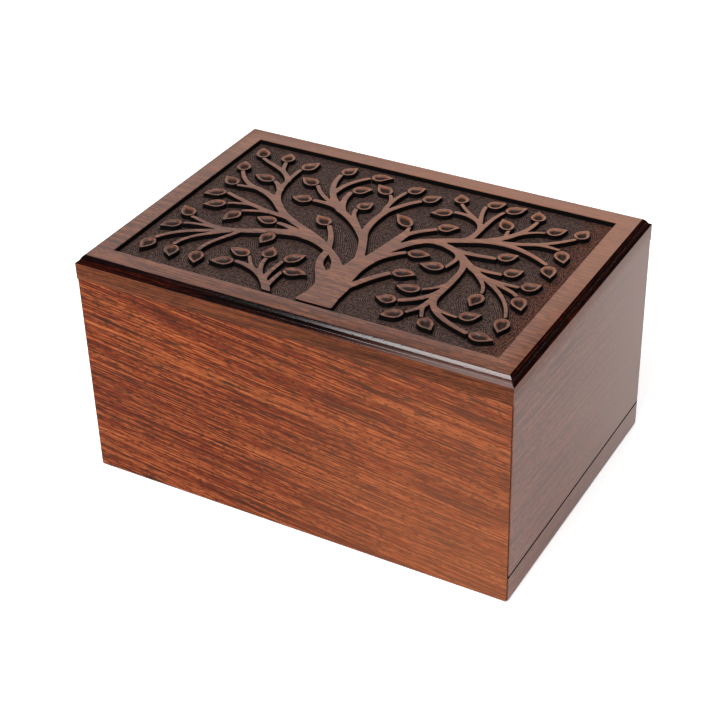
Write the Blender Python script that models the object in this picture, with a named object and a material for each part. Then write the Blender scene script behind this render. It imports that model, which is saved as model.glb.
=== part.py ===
"""Carved rosewood urn box: hollow, with a tree carved in its top board and a base panel that slides out."""
import math

import bmesh
import bpy
from mathutils import Vector
from mathutils.geometry import delaunay_2d_cdt

MM = 0.001

# The box, outside
LENGTH = 228.6 * MM
WIDTH = 158.0 * MM
WALL_HEIGHT = 110.2 * MM
WALL_THICKNESS = 12.0 * MM
CORNER_RADIUS = 1.0 * MM
EASED_EDGE = 0.8 * MM
CORNER_STEPS = 2

# The top board, its moulded edge and its carved field
TOP_THICKNESS = 12.0 * MM
ROUND_OVER = 1.9 * MM
COVE = 0.8 * MM
LIP = 1.1 * MM
ARC_STEPS = 3
BORDER = 13.4 * MM
CARVE_DEPTH = 3.0 * MM
HOLLOW_DEPTH = 1.2 * MM

# The base panel, with the strip that closes the right end below its wall
PANEL_THICKNESS = 8.0 * MM
STRIP_HEIGHT = 14.4 * MM
GROOVE_DEPTH = 5.0 * MM
GROOVE_HEIGHT = 4.4 * MM

# Clearances
GAP = 0.3 * MM
SLIDE = 0.4 * MM
CUT_PAST = 2.0 * MM
WELD = 0.02 * MM

# Finishes: a plain colour and a roughness for each
TOP_FINISH = ((0.24, 0.105, 0.068), 0.32)
WALL_FINISH = ((0.22, 0.070, 0.030), 0.28)
END_FINISH = ((0.20, 0.075, 0.040), 0.28)
BASE_FINISH = ((0.19, 0.072, 0.040), 0.35)

# The bare ground that is left beyond the drawing's ends, and between the trunk's foot and the border
END_MARGIN = 4.3 * MM
ROOT_MARGIN = 0.8 * MM

# The carver's drawing, in millimetres from the field's middle, before it is fitted to the field
LIMB_BEND = 0.38
LIMB_STEP = 6.0
NOTCH = 0.5
LEAF_WIDTH = 7.4
LEAF_BLUNT = 0.5
LEAF_POINT = 1.25
LEAF_STEPS = 6
LEAF_CROWDING = 1.5
LEAF_BENDING = 1.5
HOLLOW_MIDDLE = 0.38
HOLLOW_LENGTH = 0.24
HOLLOW_WIDTH = 0.25
HOLLOW_SIDES = 8

# Each row is a limb, which grows from the last row above it that stands one level higher: its level,
# how far along that limb it starts, the turn that it starts with, its tip, the heading there, and its
# width at both ends. A limb that bears a leaf goes on with the leaf's heading, its length and its curl.
TREE_ROOT = (8.2, -64.7)
TREE = (
    (0, 0.00, 90, 9.3, -20.0, 88, 19.0, 9.8),
    # the limb that crosses over to the left, and the twig beyond the crossing
    (1, 0.20, 8, -10.0, -20.5, 93, 11.0, 3.6),
    (2, 1.00, 15, -21.8, 1.8, 128, 3.6, 2.8, 152, 12.0, -10),
    # the great left limb, first its upper arm and then its lower one
    (1, 0.48, 30, -12.0, -17.8, 149, 9.0, 3.6),
    (2, 0.90, -8, -54.0, 7.7, 133, 4.6, 4.4),
    (3, 0.75, 28, -84.6, 8.0, 162, 3.6, 2.5, 200, 12.0, 35),
    (4, 0.50, 10, -78.6, -1.5, 205, 2.4, 2.2, 209, 12.0, 10),
    (4, 0.20, 15, -68.0, -5.4, 215, 2.6, 2.4, 254, 12.0, 0),
    (3, 1.00, 0, -64.0, 36.0, 93, 4.2, 2.6),
    (4, 0.02, 8, -75.0, 18.8, 168, 4.4, 3.4),
    (5, 1.00, -4, -90.3, 31.3, 126, 3.2, 2.4, 114, 10.5, 0),
    (5, 0.92, 12, -84.8, 16.9, 183, 2.8, 2.4, 150, 11.5, 0),
    (4, 0.55, 30, -69.8, 29.2, 150, 3.6, 2.3, 173, 13.0, 0),
    (4, 0.88, 25, -88.5, 48.2, 150, 3.4, 2.4, 121, 11.5, 0),
    (5, 0.35, -20, -75.3, 49.2, 116, 2.8, 2.3, 104, 10.0, 0),
    (4, 1.00, 0, -64.0, 45.8, 88, 2.6, 2.5, 62, 11.7, 0),
    (2, 0.85, 5, -38.0, -13.8, 196, 4.5, 6.0),
    (3, 0.60, -10, -45.9, -7.4, 178, 4.0, 2.5, 178, 12.0, 0),
    (3, 1.00, 0, -64.0, -23.8, 190, 5.6, 3.6),
    (4, 0.10, 60, -42.3, -16.5, 270, 3.0, 2.4, 268, 12.0, 0),
    (4, 0.75, 50, -65.3, -47.3, 275, 2.8, 2.6, 294, 12.0, 0),
    (4, 0.85, 28, -79.0, -48.0, 266, 3.0, 2.4, 294, 11.0, 0),
    (4, 0.90, 18, -91.0, -46.5, 245, 3.4, 2.5, 268, 11.5, 0),
    (4, 1.00, 6, -86.8, -28.3, 205, 2.6, 2.2, 205, 11.5, 45),
    (4, 1.00, 0, -87.0, -20.6, 165, 3.0, 2.3, 141, 12.0, 0),
    # the middle limb
    (1, 0.90, 20, -3.5, 4.0, 115, 7.0, 4.2),
    (2, 0.70, 12, -26.0, 18.3, 150, 4.0, 4.4),
    (3, 0.46, -15, -17.9, 22.3, 92, 3.4, 2.5, 62, 10.0, 0),
    (3, 0.90, -25, -28.8, 36.3, 88, 4.0, 2.9, 50, 11.0, -35),
    (3, 0.95, -10, -42.6, 50.3, 92, 4.6, 2.6, 66, 10.5, 0),
    (4, 0.45, -33, -27.3, 53.3, 46, 3.4, 2.6, 35, 11.5, -30),
    (3, 1.00, 0, -47.7, 35.0, 125, 2.8, 2.4, 162, 12.0, 0),
    (3, 1.00, 5, -42.0, 20.3, 181, 3.4, 2.9, 190, 11.5, 0),
    (2, 0.95, -10, -3.2, 28.5, 80, 4.0, 3.6),
    (3, 0.80, 22, -3.8, 48.3, 74, 3.0, 2.4, 49, 10.5, 0),
    (4, 0.45, 25, -10.2, 42.3, 135, 2.4, 2.2, 146, 12.5, 0),
    (3, 0.95, -16, 7.0, 43.6, 48, 3.4, 3.0, 50, 11.0, 0),
    # two twigs low on the right of the trunk
    (1, 0.24, -19, 26.3, -24.3, 45, 8.0, 3.2, 30, 12.0, -40),
    (1, 0.75, -15, 24.0, -4.4, 38, 6.0, 3.0, 12, 12.0, 0),
    # the trunk's upper end and its two twigs
    (1, 1.00, 0, 15.8, 12.5, 78, 8.5, 4.8),
    (2, 0.90, 8, 14.0, 17.6, 95, 3.0, 2.2, 138, 15.0, 15),
    (2, 0.85, -8, 26.7, 21.8, 42, 3.6, 3.0, 45, 11.0, -40),
    # the great right limb and its upper arms
    (2, 0.25, -18, 34.0, 11.3, 12, 6.0, 4.4),
    (3, 0.90, 12, 53.0, 22.3, 28, 4.6, 4.4),
    (4, 0.55, 30, 45.3, 30.0, 92, 4.0, 3.2),
    (5, 1.00, 8, 26.2, 40.6, 190, 3.4, 2.6, 210, 11.5, 0),
    (6, 0.25, -20, 38.0, 53.0, 92, 2.8, 2.4, 42, 10.5, 0),
    (6, 0.40, -5, 25.8, 50.0, 130, 2.4, 2.2, 116, 9.5, 0),
    (5, 1.00, -8, 48.6, 51.5, 68, 3.2, 2.2, 45, 12.0, 0),
    (4, 1.00, 14, 66.8, 50.0, 90, 4.8, 2.3, 110, 10.0, 0),
    (5, 0.25, 25, 58.3, 36.3, 72, 3.0, 1.8, 132, 12.0, 0),
    (5, 0.48, -20, 74.8, 41.6, 12, 2.8, 1.8, 42, 11.0, 0),
    (4, 1.00, -18, 90.0, 43.0, 52, 3.6, 2.4, 78, 10.5, 0),
    (5, 0.50, -8, 87.8, 29.6, -6, 3.0, 2.2, 300, 12.0, 0),
    (4, 0.90, -10, 87.8, 14.3, -30, 4.4, 2.4, 300, 11.5, 0),
    # its lower arms, which fall and curl
    (3, 0.85, -20, 54.5, -9.0, -85, 4.2, 3.3),
    (4, 0.30, 5, 64.3, 9.3, 8, 3.6, 2.8, 42, 11.0, 0),
    (4, 0.50, -15, 46.4, -8.8, 262, 3.0, 2.2, 194, 12.5, -15),
    (4, 0.55, 5, 70.0, -9.9, -15, 4.4, 3.4),
    (5, 0.35, 18, 73.0, -2.6, 5, 3.2, 2.6, 45, 10.5, 0),
    (5, 0.90, 8, 84.7, -9.4, 0, 3.2, 2.6, 30, 10.5, 25),
    (5, 1.00, -8, 87.0, -17.0, -38, 3.0, 2.4, 303, 12.0, 0),
    (5, 0.70, 0, 89.8, -35.8, -72, 3.0, 1.9, 280, 12.5, 0),
    (5, 0.60, -15, 71.3, -22.0, -85, 2.6, 2.0, 271, 12.0, 0),
    (4, 1.00, 0, 54.0, -36.0, 268, 3.2, 4.2),
    (5, 0.35, -12, 45.6, -31.0, 218, 2.6, 2.0, 195, 12.5, -18),
    (5, 0.70, -15, 40.2, -44.0, 208, 3.4, 3.0, 194, 10.5, -18),
    (5, 0.90, 10, 80.8, -54.6, -17, 3.6, 2.8, 0, 12.5, 0),
    (6, 0.25, 30, 71.0, -44.8, -2, 2.4, 2.0, 38, 11.0, 0),
    (5, 1.00, 0, 52.5, -45.0, 262, 3.6, 3.2),
    (6, 0.90, -15, 48.0, -51.5, 235, 2.8, 2.2, 218, 11.5, 0),
    (6, 0.80, 25, 56.5, -52.0, 290, 2.6, 2.0, 320, 11.5, 0),
)
SAPLING_ROOT = (-16.5, -64.7)
SAPLING = (
    (0, 0.00, 122, -44.4, -47.6, 178, 4.5, 2.8, 205, 12.0, 0),
    (1, 0.10, -25, -19.3, -46.2, 88, 3.0, 2.4, 30, 12.0, -50),
    (1, 0.30, -30, -24.0, -37.6, 90, 3.0, 2.4, 52, 12.0, 0),
    (1, 0.45, -25, -32.3, -38.8, 92, 3.0, 2.4, 104, 10.5, 0),
    (1, 0.65, -20, -40.8, -40.3, 125, 2.4, 2.0, 170, 12.5, 0),
)

TOP_UNDERSIDE = WALL_HEIGHT + GAP
TOP_SURFACE = TOP_UNDERSIDE + TOP_THICKNESS
FIELD_LENGTH = LENGTH - 2 * BORDER
FIELD_WIDTH = WIDTH - 2 * BORDER
PANEL_MIDDLE = GAP + PANEL_THICKNESS / 2


def new_collection(name):
    collection = bpy.data.collections.new(name)
    bpy.context.scene.collection.children.link(collection)
    return collection


def rosewood(name, color, roughness):
    """A plain finish for one piece of wood."""
    material = bpy.data.materials.new(name)
    material.use_nodes = True
    shader = material.node_tree.nodes["Principled BSDF"]
    shader.inputs["Base Color"].default_value = (*color, 1.0)
    shader.inputs["Roughness"].default_value = roughness
    shader.inputs["Metallic"].default_value = 0.0
    return material


def box(name, low, high, collection):
    """A block between two corners."""
    mesh = bpy.data.meshes.new(name)
    bm = bmesh.new()
    bmesh.ops.create_cube(bm, size=1.0)
    bmesh.ops.scale(bm, vec=[b - a for a, b in zip(low, high)], verts=bm.verts)
    bmesh.ops.translate(bm, vec=[(a + b) / 2 for a, b in zip(low, high)], verts=bm.verts)
    bm.to_mesh(mesh)
    bm.free()
    obj = bpy.data.objects.new(name, mesh)
    collection.objects.link(obj)
    return obj


def board(name, outline, bottom, top, collection):
    """A flat outline as a 2D curve, filled, extruded between two heights and made a welded mesh."""
    curve = bpy.data.curves.new(name + "_outline", "CURVE")
    curve.dimensions = "2D"
    curve.fill_mode = "BOTH"
    curve.extrude = (top - bottom) / 2
    spline = curve.splines.new("POLY")
    spline.points.add(len(outline) - 1)
    for point, (x, y) in zip(spline.points, outline):
        point.co = (x, y, 0.0, 1.0)
    spline.use_cyclic_u = True
    drawn = bpy.data.objects.new(name + "_outline", curve)
    collection.objects.link(drawn)
    bpy.context.view_layer.update()
    evaluated = drawn.evaluated_get(bpy.context.evaluated_depsgraph_get())
    mesh = bpy.data.meshes.new_from_object(evaluated)
    bpy.data.objects.remove(drawn)
    bm = bmesh.new()
    bm.from_mesh(mesh)
    bmesh.ops.remove_doubles(bm, verts=bm.verts, dist=WELD)
    bmesh.ops.translate(bm, vec=(0.0, 0.0, (top + bottom) / 2), verts=bm.verts)
    bm.to_mesh(mesh)
    bm.free()
    mesh.name = name
    obj = bpy.data.objects.new(name, mesh)
    collection.objects.link(obj)
    return obj


def boolean(obj, tool, operation):
    """A live Boolean, with the tool kept as a wire."""
    modifier = obj.modifiers.new(tool.name, "BOOLEAN")
    modifier.operation = operation
    modifier.solver = "EXACT"
    modifier.object = tool
    tool.hide_render = True
    tool.display_type = "WIRE"


def mitred_outline(span, reach):
    """Plan of a board with both ends cut at 45 degrees and its outer corners rounded."""
    slip = GAP / math.sqrt(2)
    arc = []
    for step in range(CORNER_STEPS + 1):
        angle = math.radians(-90 + 45 * step / CORNER_STEPS)
        x = span / 2 - CORNER_RADIUS + CORNER_RADIUS * math.cos(angle)
        y = -reach + CORNER_RADIUS + CORNER_RADIUS * math.sin(angle)
        arc.append((x, y))
    arc[-1] = (arc[-1][0] - slip, arc[-1][1])
    end = arc + [(span / 2 - WALL_THICKNESS - slip, -reach + WALL_THICKNESS)]
    return end + [(-x, y) for x, y in reversed(end)]


def ease_lower_edge(obj, reach):
    """Rounds the lower edge of a wall's outer face, where its underside meets the face."""
    bm = bmesh.new()
    bm.from_mesh(obj.data)
    lowest = min(vertex.co.z for vertex in bm.verts)
    face_side = -reach + CORNER_RADIUS / 2
    edges = []
    for edge in bm.edges:
        outer = all(vert.co.z < lowest + WELD and vert.co.y < face_side for vert in edge.verts)
        if outer and edge.calc_face_angle() > math.radians(45):
            edges.append(edge)
    bmesh.ops.bevel(bm, geom=edges, offset=EASED_EDGE, segments=2, profile=0.5, affect="EDGES")
    bm.to_mesh(obj.data)
    bm.free()


def wall(name, side, bottom, top, eased, collection):
    """One mitred wall: side 0 is the front, 1 the right, 2 the back and 3 the left."""
    span, depth = (LENGTH, WIDTH) if side % 2 == 0 else (WIDTH, LENGTH)
    obj = board(name, mitred_outline(span, depth / 2), bottom, top, collection)
    if eased:
        ease_lower_edge(obj, depth / 2)
    obj.rotation_euler.z = math.radians(90 * side)
    return obj


def edge_profile():
    """The moulded edge from its foot up: a rounded lip, a cove and a round-over, as arcs of 90 degrees."""
    points = [Vector((0.0, 0.0))]
    for radius, hollow in ((LIP, False), (COVE, True), (ROUND_OVER, False)):
        foot = points[-1]
        for step in range(1, ARC_STEPS + 1):
            angle = math.radians(90 * step / ARC_STEPS)
            x, y = 1 - math.cos(angle), math.sin(angle)
            if hollow:
                x, y = y, x
            points.append(foot + radius * Vector((x, y)))
    return points


def blank_top(collection):
    """The top board before carving: a slab whose upper face is drawn in by steps along the edge profile."""
    profile = edge_profile()
    low = (-LENGTH / 2, -WIDTH / 2, TOP_UNDERSIDE)
    high = (LENGTH / 2, WIDTH / 2, TOP_SURFACE - profile[-1].y)
    obj = box("carved_top", low, high, collection)
    bm = bmesh.new()
    bm.from_mesh(obj.data)
    bm.faces.ensure_lookup_table()
    upper = max(bm.faces, key=lambda face: face.calc_center_median().z)
    for foot, head in zip(profile, profile[1:]):
        inward, rise = head - foot
        bmesh.ops.inset_region(bm, faces=[upper], thickness=inward, depth=rise, use_even_offset=True)
    bm.to_mesh(obj.data)
    bm.free()
    return obj


def aim(degrees):
    return Vector((math.cos(math.radians(degrees)), math.sin(math.radians(degrees))))


def along(limb, share):
    """Place and direction at a share of a limb, by halving its four guide points down to two."""
    points = limb
    while len(points) > 2:
        points = [a.lerp(b, share) for a, b in zip(points, points[1:])]
    return points[0].lerp(points[1], share), points[1] - points[0]


def grow(root, rows):
    """Each row's limb as four guide points, with its two widths and its leaf."""
    newest = {}
    for level, share, turn, x, y, heading, wide, narrow, *leaf in rows:
        start, way = Vector(root), 0.0
        if level > 0:
            start, direction = along(newest[level - 1], share)
            way = math.degrees(math.atan2(direction.y, direction.x))
        tip = Vector((x, y))
        reach = LIMB_BEND * (tip - start).length
        newest[level] = [start, start + reach * aim(way + turn), tip - reach * aim(heading), tip]
        yield newest[level], wide, narrow, leaf


def limb_outline(limb, wide, narrow):
    """Both sides of a limb that tapers evenly from its root to its tip, counterclockwise."""
    steps = max(2, round((limb[3] - limb[0]).length / LIMB_STEP))
    left, right = [], []
    for step in range(steps + 1):
        share = step / steps
        middle, direction = along(limb, share)
        side = Vector((-direction.y, direction.x)).normalized() * (wide + (narrow - wide) * share) / 2
        left.append(middle + side)
        right.append(middle - side)
    return right + left[::-1]


def leaf_place(base, heading, length, curl, share, aside):
    """A place on a leaf: a share of the way along its curled midrib, and a distance to its left."""
    bent = curl * share ** LEAF_BENDING
    midrib = base + length * share * aim(heading + bent / (LEAF_BENDING + 1))
    return midrib + aside * aim(heading + bent + 90)


def leaf_half_width(share):
    """Blunt at the twig and pointed at the tip: share^BLUNT (1 - share)^POINT, scaled to its widest."""
    widest = LEAF_BLUNT / (LEAF_BLUNT + LEAF_POINT)
    peak = widest ** LEAF_BLUNT * (1 - widest) ** LEAF_POINT
    return LEAF_WIDTH / 2 * share ** LEAF_BLUNT * (1 - share) ** LEAF_POINT / peak


def leaf_outline(leaf):
    """A leaf's outline, counterclockwise, with its steps closer at the blunt end."""
    shares = [(step / LEAF_STEPS) ** LEAF_CROWDING for step in range(LEAF_STEPS + 1)]
    right = [leaf_place(*leaf, share, -leaf_half_width(share)) for share in shares]
    left = [leaf_place(*leaf, share, leaf_half_width(share)) for share in shares[1:-1]]
    return right + left[::-1]


def hollow_outline(leaf):
    """The rim of the hollow that is scooped from a leaf, an oval laid along its midrib."""
    points = []
    for step in range(HOLLOW_SIDES):
        angle = 2 * math.pi * step / HOLLOW_SIDES
        share = HOLLOW_MIDDLE + HOLLOW_LENGTH * math.cos(angle)
        points.append(leaf_place(*leaf, share, HOLLOW_WIDTH * LEAF_WIDTH * math.sin(angle)))
    return points


def drawing():
    """The outlines of all limbs and leaves, the leaves themselves, and how the drawing fits the field."""
    outlines, leaves = [], []
    for root, rows in ((TREE_ROOT, TREE), (SAPLING_ROOT, SAPLING)):
        for limb, wide, narrow, leaf in grow(root, rows):
            outlines.append(limb_outline(limb, wide, narrow))
            if leaf:
                base = limb[3] + NOTCH * aim(leaf[0])
                leaves.append((base, *leaf))
                outlines.append(leaf_outline(leaves[-1]))
    reach = max(abs(point.x) for outline in outlines for point in outline)
    foot = abs(TREE_ROOT[1])
    fit = Vector(((FIELD_LENGTH / 2 - END_MARGIN) / reach, (FIELD_WIDTH / 2 - ROOT_MARGIN) / foot))
    return outlines, leaves, fit


def ground_tool(outlines, fit, collection):
    """The ground that the carver cuts away: the field less every limb and leaf, a flat sheet made thick."""
    half = Vector((FIELD_LENGTH / 2 / fit.x, FIELD_WIDTH / 2 / fit.y))
    corners = [Vector((half.x * x, half.y * y)) for x, y in ((-1, -1), (1, -1), (1, 1), (-1, 1))]
    points, faces = [], []
    for outline in [corners] + outlines:
        faces.append(list(range(len(points), len(points) + len(outline))))
        points.extend(outline)
    flat, _, triangles, _, _, owners = delaunay_2d_cdt(points, [], faces, 1, 0.001)
    bm = bmesh.new()
    floor = TOP_SURFACE - CARVE_DEPTH
    verts = [bm.verts.new((*point * fit, floor)) for point in flat]
    for triangle, owner in zip(triangles, owners):
        if set(owner) == {0}:
            bm.faces.new([verts[index] for index in triangle])
    bmesh.ops.delete(bm, geom=[vert for vert in bm.verts if not vert.link_faces], context="VERTS")
    bmesh.ops.remove_doubles(bm, verts=bm.verts, dist=WELD)
    lifted = bmesh.ops.extrude_face_region(bm, geom=bm.faces[:])
    upper = [item for item in lifted["geom"] if isinstance(item, bmesh.types.BMVert)]
    bmesh.ops.translate(bm, vec=(0.0, 0.0, CARVE_DEPTH + CUT_PAST), verts=upper)
    bmesh.ops.recalc_face_normals(bm, faces=bm.faces)
    return tool_object("ground_tool", bm, collection)


def hollow_tool(leaves, fit, collection):
    """The scoop that hollows each leaf: a shallow point whose sides run on above the wood."""
    bm = bmesh.new()
    past = 1 + CUT_PAST / HOLLOW_DEPTH
    for leaf in leaves:
        middle = leaf_place(*leaf, HOLLOW_MIDDLE, 0.0) * fit
        rim = []
        for point in hollow_outline(leaf):
            spread = middle + (point * fit - middle) * past
            rim.append(bm.verts.new((*spread, TOP_SURFACE + CUT_PAST)))
        point = bm.verts.new((*middle, TOP_SURFACE - HOLLOW_DEPTH))
        bm.faces.new(rim)
        for first, second in zip(rim, rim[1:] + rim[:1]):
            bm.faces.new((second, first, point))
    bmesh.ops.recalc_face_normals(bm, faces=bm.faces)
    return tool_object("hollow_tool", bm, collection)


def tool_object(name, bm, collection):
    mesh = bpy.data.meshes.new(name)
    bm.to_mesh(mesh)
    bm.free()
    obj = bpy.data.objects.new(name, mesh)
    collection.objects.link(obj)
    return obj


def carved_top(parts, tools):
    obj = blank_top(parts)
    outlines, leaves, fit = drawing()
    boolean(obj, ground_tool(outlines, fit, tools), "DIFFERENCE")
    boolean(obj, hollow_tool(leaves, fit, tools), "DIFFERENCE")
    obj.data.materials.append(rosewood("top_rosewood", *TOP_FINISH))
    return obj


def walls(parts, tools):
    """Four walls mitred at the corners. The right one stops above the strip, and the others are grooved."""
    inner_x = LENGTH / 2 - WALL_THICKNESS
    inner_y = WIDTH / 2 - WALL_THICKNESS
    low = (-inner_x - GROOVE_DEPTH, -inner_y - GROOVE_DEPTH, PANEL_MIDDLE - GROOVE_HEIGHT / 2)
    high = (LENGTH / 2 + CUT_PAST, inner_y + GROOVE_DEPTH, PANEL_MIDDLE + GROOVE_HEIGHT / 2)
    groove = box("groove_tool", low, high, tools)
    for name, side in (("front_wall", 0), ("back_wall", 2), ("left_wall", 3)):
        obj = wall(name, side, 0.0, WALL_HEIGHT, True, parts)
        boolean(obj, groove, "DIFFERENCE")
        obj.data.materials.append(rosewood(name + "_rosewood", *WALL_FINISH))
    right = wall("right_wall", 1, STRIP_HEIGHT + GAP, WALL_HEIGHT, False, parts)
    right.data.materials.append(rosewood("right_wall_rosewood", *END_FINISH))


def base_panel(parts, tools):
    """A board with a tongue on three sides, and the strip that closes the right end, made as one piece."""
    inner_x = LENGTH / 2 - WALL_THICKNESS
    inner_y = WIDTH / 2 - WALL_THICKNESS
    obj = wall("base_panel", 1, GAP, STRIP_HEIGHT, True, parts)
    low = (-inner_x + SLIDE, -inner_y + SLIDE, GAP)
    high = (inner_x + WALL_THICKNESS / 2, inner_y - SLIDE, GAP + PANEL_THICKNESS)
    plate = box("panel_plate", low, high, tools)
    tongue = GROOVE_HEIGHT / 2 - SLIDE
    edge = GROOVE_DEPTH - SLIDE
    low = (-inner_x - edge, -inner_y - edge, PANEL_MIDDLE - tongue)
    high = (inner_x, inner_y + edge, PANEL_MIDDLE + tongue)
    tongues = box("panel_tongues", low, high, tools)
    boolean(obj, plate, "UNION")
    boolean(obj, tongues, "UNION")
    obj.data.materials.append(rosewood("base_rosewood", *BASE_FINISH))


for item in list(bpy.data.objects):
    bpy.data.objects.remove(item)
parts_collection = new_collection("urn_box")
tools_collection = new_collection("cutting_tools")
carved_top(parts_collection, tools_collection)
walls(parts_collection, tools_collection)
base_panel(parts_collection, tools_collection)
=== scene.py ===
"""Carved rosewood urn box: the finish of its boards, the tree carved in its top, and the studio round it."""

import math

import bpy
import numpy as np
from mathutils import Matrix, Vector


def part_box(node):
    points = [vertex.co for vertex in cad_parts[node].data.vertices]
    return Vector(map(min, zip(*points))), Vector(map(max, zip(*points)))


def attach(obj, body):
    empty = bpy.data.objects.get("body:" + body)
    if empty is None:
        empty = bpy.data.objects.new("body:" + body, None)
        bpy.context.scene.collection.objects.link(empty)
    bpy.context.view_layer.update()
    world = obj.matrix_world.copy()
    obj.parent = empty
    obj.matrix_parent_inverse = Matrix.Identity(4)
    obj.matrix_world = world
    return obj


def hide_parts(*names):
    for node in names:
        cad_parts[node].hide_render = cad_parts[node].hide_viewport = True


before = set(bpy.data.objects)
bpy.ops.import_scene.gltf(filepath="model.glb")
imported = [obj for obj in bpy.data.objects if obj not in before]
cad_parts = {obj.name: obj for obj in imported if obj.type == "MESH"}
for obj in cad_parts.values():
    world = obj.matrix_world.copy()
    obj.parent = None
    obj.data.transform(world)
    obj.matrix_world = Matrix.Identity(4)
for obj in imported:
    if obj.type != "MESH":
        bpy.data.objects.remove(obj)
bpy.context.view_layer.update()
MM = 0.001


# Front and back walls: two long boards of Indian rosewood, planed, mitred at their ends and glued.
# Their grain runs along the box and falls a few degrees to one side, with dark streaks and open pores,
# under a thin clear lacquer.
ALONG, BACK, UP = range(3)


class Reading:
    """One output in a finish's node tree. Sums, differences and products add Math nodes to the tree."""

    def __init__(self, tree, socket=None):
        self.tree = tree
        self.socket = socket

    def node(self, kind, settings=None, values=None, output=0):
        """Adds a node: its settings first, then each socket's value or link. Returns one output of it."""
        made = self.tree.nodes.new("ShaderNode" + kind)
        for name, setting in (settings or {}).items():
            if name == "stops":
                for _ in range(len(setting) - len(made.color_ramp.elements)):
                    made.color_ramp.elements.new(0.5)
                for stop, (place, shade) in zip(made.color_ramp.elements, setting):
                    stop.position = place
                    stop.color = (*shade, 1.0)
            else:
                setattr(made, name, setting)
        for name, value in (values or {}).items():
            if isinstance(value, Reading):
                self.tree.links.new(value.socket, made.inputs[name])
            else:
                made.inputs[name].default_value = value
        return Reading(self.tree, made.outputs[output])

    def maths(self, operation, *values):
        """One Math node on readings and numbers."""
        return self.node("Math", {"operation": operation}, dict(enumerate(values)))

    def __add__(self, other):
        return self.maths("ADD", self, other)

    def __sub__(self, other):
        return self.maths("SUBTRACT", self, other)

    def __rsub__(self, other):
        return self.maths("SUBTRACT", other, self)

    def __mul__(self, other):
        return self.maths("MULTIPLY", self, other)

    __radd__ = __add__
    __rmul__ = __mul__

    def larger(self, other):
        """The larger of this reading and another."""
        return self.maths("MAXIMUM", self, other)

    def sine(self):
        """The sine of this reading, taken as an angle in radians."""
        return self.maths("SINE", self)

    def joins(self, socket):
        """Leads this reading into a socket of a node that is already there."""
        self.tree.links.new(self.socket, socket)

    def between(self, low, high):
        """0 up to the low value, 1 from the high one, and a smooth rise between them."""
        return self.node("MapRange", {"interpolation_type": "SMOOTHSTEP"}, {0: self, 1: low, 2: high})

    def blend(self, first, second):
        """The first colour where this reading is 0, and the second where it is 1."""
        colours = {"Factor": self, 6: first, 7: second}
        for socket in (6, 7):
            if isinstance(colours[socket], tuple):
                colours[socket] = (*colours[socket], 1.0)
        return self.node("Mix", {"data_type": "RGBA"}, colours, output=2)


def new_finish(name):
    """An empty finish: its material, a reading of its tree and its Principled shader."""
    material = bpy.data.materials.new(name)
    material.use_nodes = True
    return material, Reading(material.node_tree), material.node_tree.nodes["Principled BSDF"]


def place_in(tree):
    """Place in the board in millimetres."""
    place = tree.node("TexCoord", output=3)
    return tree.node("VectorMath", {"operation": "MULTIPLY"}, {0: place, 1: (1 / MM, 1 / MM, 1 / MM)})


def measured(tree, axis):
    """Place in the board in millimetres, measured one way: along the box, towards its back, or up."""
    return tree.node("SeparateXYZ", {}, {0: place_in(tree)}, output=axis)


def along_grain(tree, turn):
    """Place in the board in millimetres, turned so that the grain runs along the first axis."""
    return tree.node("Mapping", {"vector_type": "POINT"}, {"Vector": place_in(tree), "Rotation": turn})


def fibres(tree, place, length, width, roughness=0.6, detail=3.0):
    """Noise drawn out along the grain, whose waves are about so long and so wide in millimetres."""
    shrink = (1 / length, 1 / width, 1 / width)
    drawn = tree.node("VectorMath", {"operation": "MULTIPLY"}, {0: place, 1: shrink})
    facts = {"Vector": drawn, "Scale": 1.0, "Detail": detail, "Roughness": roughness}
    return tree.node("TexNoise", {}, facts)


def rosewood(tree, place, shades, figure=1.0, short=1.0):
    """Colour and relief of rosewood: bands, streaks, threads and grit added up and coloured from dark to
    light, then bright threads, and then flecks, hairlines and open pores in ink, as strong as the figure
    says. Short wood has shorter marks."""
    dark, middle, light, ink = shades
    bands = fibres(tree, place, 300.0 * short, 16.0, detail=2.0)
    streaks = fibres(tree, place, 95.0 * short, 2.6, 0.65, 4.0)
    threads = fibres(tree, place, 80.0 * short, 0.7, 0.5, 1.0)
    grit = fibres(tree, place, 7.0, 0.55, 0.5, 1.0)
    tone = bands.between(0.3, 0.7) * 0.16 + streaks.between(0.3, 0.7) * 0.17
    tone = tone + threads.between(0.3, 0.7) * 0.34 + grit.between(0.25, 0.75) * 0.33
    stops = [(0.20, dark), (0.50, middle), (0.82, light)]
    colour = tree.node("ValToRGB", {"stops": stops}, {0: tone})
    bright = fibres(tree, place, 80.0 * short, 0.75, 0.5, 0.0).between(0.60, 0.72) * (0.7 * figure)
    colour = bright.blend(colour, light)
    flecks = fibres(tree, place, 22.0 * short, 1.9, 0.6, 3.0).between(0.575, 0.68) * (0.85 * figure)
    hairs = fibres(tree, place, 60.0 * short, 0.8, 0.5, 0.0).between(0.62, 0.72) * (0.75 * figure)
    open_pores = fibres(tree, place, 2.6, 0.62, 0.5, 0.0).between(0.58, 0.73) * (0.72 * figure)
    marks = flecks.larger(hairs).larger(open_pores)
    return marks.blend(colour, ink), threads * 0.5 + streaks * 0.5 - open_pores


def lacquer(shader, tree, colour, relief, rough, refraction, bumps=0.3):
    """Joins a wood's colour and relief to a shader, under a thin clear lacquer."""
    colour.joins(shader.inputs["Base Color"])
    bump = tree.node("Bump", {}, {"Height": relief, "Strength": bumps, "Distance": 0.06 * MM})
    bump.joins(shader.inputs["Normal"])
    shader.inputs["Roughness"].default_value = rough
    shader.inputs["IOR"].default_value = refraction


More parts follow.
